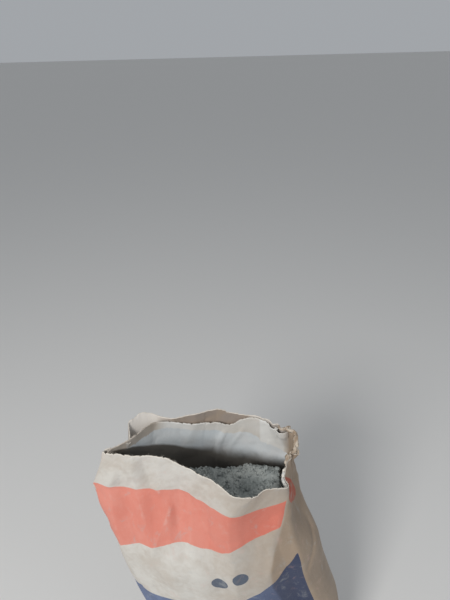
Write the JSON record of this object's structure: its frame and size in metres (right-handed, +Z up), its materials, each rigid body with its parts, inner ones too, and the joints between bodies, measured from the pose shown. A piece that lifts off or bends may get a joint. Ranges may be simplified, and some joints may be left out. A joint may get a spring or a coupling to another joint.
{
  "type": "cement bag",
  "caption": "Upright paper sack of cement, torn open along its top, with parted paper plies, a pasted block bottom and a heap of grey cement inside.",
  "frame": {"origin": "middle of the sack's bounding box, on the floor that it stands on", "axes": "+Z up along the sack's height, +X along its width towards the crumpled end of the mouth, and the printed front faces -Y"},
  "size_m": [0.4494, 0.1762, 0.6579],
  "materials": {
    "outer_paper": "matt kraft paper with flat printed colour, dusty and creased",
    "inner_paper": "matt unprinted kraft paper, dusted grey inside",
    "cement_powder": "fine dry powder with small lumps"
  },
  "bodies": {
    "root": {"outer_ply": "outer_paper", "inner_ply": "inner_paper", "bottom_patch": "outer_paper", "cement": "cement_powder"}
  },
  "joints": []
}
